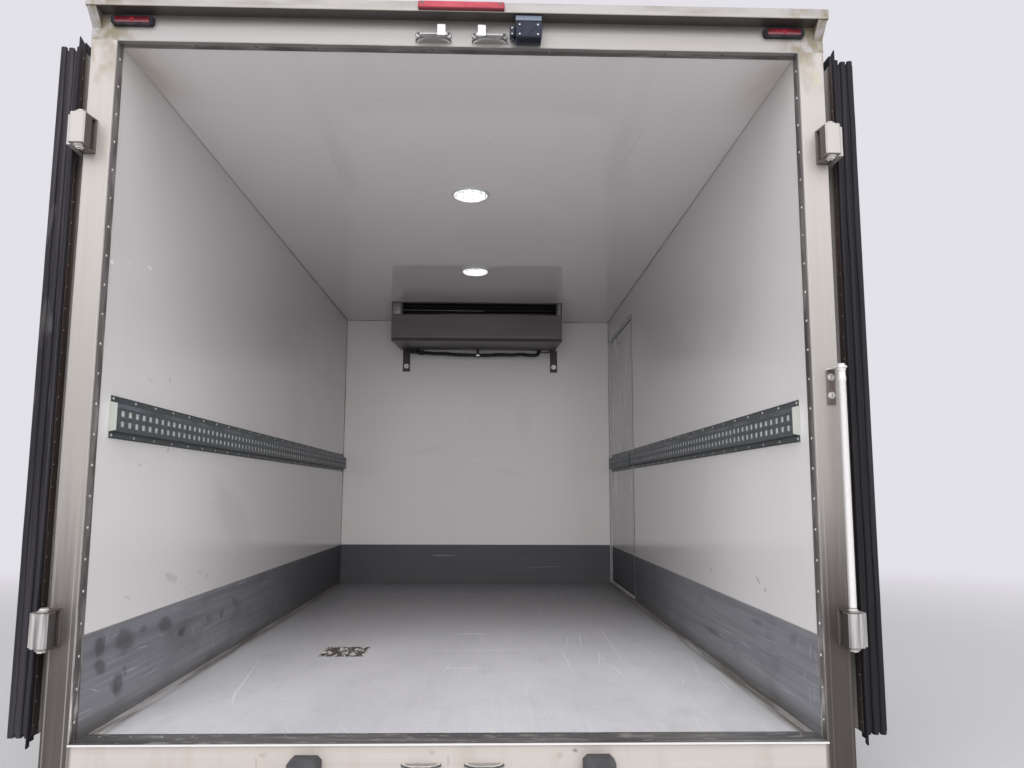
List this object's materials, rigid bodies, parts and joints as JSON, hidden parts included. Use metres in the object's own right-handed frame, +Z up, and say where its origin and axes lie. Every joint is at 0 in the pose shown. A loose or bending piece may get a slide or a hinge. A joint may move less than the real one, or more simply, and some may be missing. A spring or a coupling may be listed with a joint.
{
  "type": "insulated refrigerated truck body",
  "caption": "Insulated box body of a refrigerated truck, off its chassis, with rear doors that fold back along its sides, a side door, evaporator and condenser unit.",
  "frame": {"origin": "middle of the body's outline, on the ground under its runners", "axes": "+X to the right as seen from behind, +Y forward, +Z up"},
  "size_m": [2.836, 5.322, 2.828],
  "materials": {
    "panel_white": "glossy",
    "frame_white": "satin",
    "floor_grey": "matte",
    "stainless": "brushed",
    "lining_grey": "satin",
    "rail_aluminium": "satin",
    "kick_aluminium": "scuffed",
    "galvanised": "matte",
    "seal_rubber": "matte",
    "buffer_rubber": "matte",
    "hose_rubber": "matte",
    "red_lens": "glossy",
    "black_plastic": "satin",
    "lamp_white": "glossy",
    "evaporator_grey": "satin",
    "unit_white": "satin",
    "fan_plastic": "matte",
    "chassis_steel": "satin"
  },
  "bodies": {
    "box": {"floor_panel": "floor_grey", "roof_panel": "panel_white", "front_wall": "panel_white", "left_wall": "panel_white", "right_wall": "panel_white", "right_wall_head": "panel_white", "rear_post_left": "stainless", "rear_post_right": "stainless", "rear_header": "stainless", "rear_sill": "stainless", "threshold": "stainless", "aperture_lining": "lining_grey", "roof_rails": "rail_aluminium", "floor_rails": "rail_aluminium", "front_corner_posts": "rail_aluminium", "kick_plate_left": "kick_aluminium", "kick_plate_right": "kick_aluminium", "kick_plate_front": "kick_aluminium", "load_rail_left": "galvanised", "load_rail_right": "galvanised", "side_hinge_brackets": "stainless", "hinge_brackets": "stainless", "grab_bar": "stainless", "lock_keepers": "stainless", "marker_lamps": "red_lens", "high_level_lamp": "red_lens", "reversing_camera": "black_plastic", "buffers": "buffer_rubber", "side_door_frame": "frame_white", "ceiling_lamps": "lamp_white", "evaporator_housing": "evaporator_grey", "evaporator_louvres": "black_plastic", "evaporator_brackets": "evaporator_grey", "evaporator_hose": "hose_rubber", "condenser_housing": "unit_white", "fan_guards": "black_plastic", "cross_members": "chassis_steel", "runners": "chassis_steel"},
    "left_door": {"left_door_leaf": "panel_white", "left_door_seal": "seal_rubber", "left_door_lock_bar": "stainless", "left_door_hinge_blades": "stainless"},
    "right_door": {"right_door_leaf": "panel_white", "right_door_seal": "seal_rubber", "right_door_lock_bar": "stainless", "right_door_hinge_blades": "stainless", "right_door_astragal": "seal_rubber"},
    "side_door": {"side_door_leaf": "panel_white", "side_door_seal": "seal_rubber", "side_door_lock_bar": "stainless", "side_door_hinge_blades": "stainless", "side_door_kick_plate": "kick_aluminium", "side_door_load_rail": "galvanised"},
    "left_fan": {"fan_rotor_left": "fan_plastic"},
    "right_fan": {"fan_rotor_right": "fan_plastic"}
  },
  "joints": [
    {"name": "right_door_hinge", "type": "hinge", "parent": "box", "child": "right_door", "pos_m": [1.284, -2.634, 1.51], "axis": [0, 0, 1], "range_deg": [-270, 0]},
    {"name": "left_door_hinge", "type": "hinge", "parent": "box", "child": "left_door", "pos_m": [-1.284, -2.634, 1.51], "axis": [0, 0, -1], "range_deg": [-270, 0]},
    {"name": "side_door_hinge", "type": "hinge", "parent": "box", "child": "side_door", "pos_m": [1.32, 0.962, 1.41], "axis": [0, 0, -1], "range_deg": [0, 180]},
    {"name": "left_fan_spin", "type": "hinge", "parent": "box", "child": "left_fan", "pos_m": [-0.4, 2.576, 2.12], "axis": [0, 1, 0], "continuous": true},
    {"name": "right_fan_spin", "type": "hinge", "parent": "box", "child": "right_fan", "pos_m": [0.4, 2.576, 2.12], "axis": [0, 1, 0], "continuous": true}
  ]
}
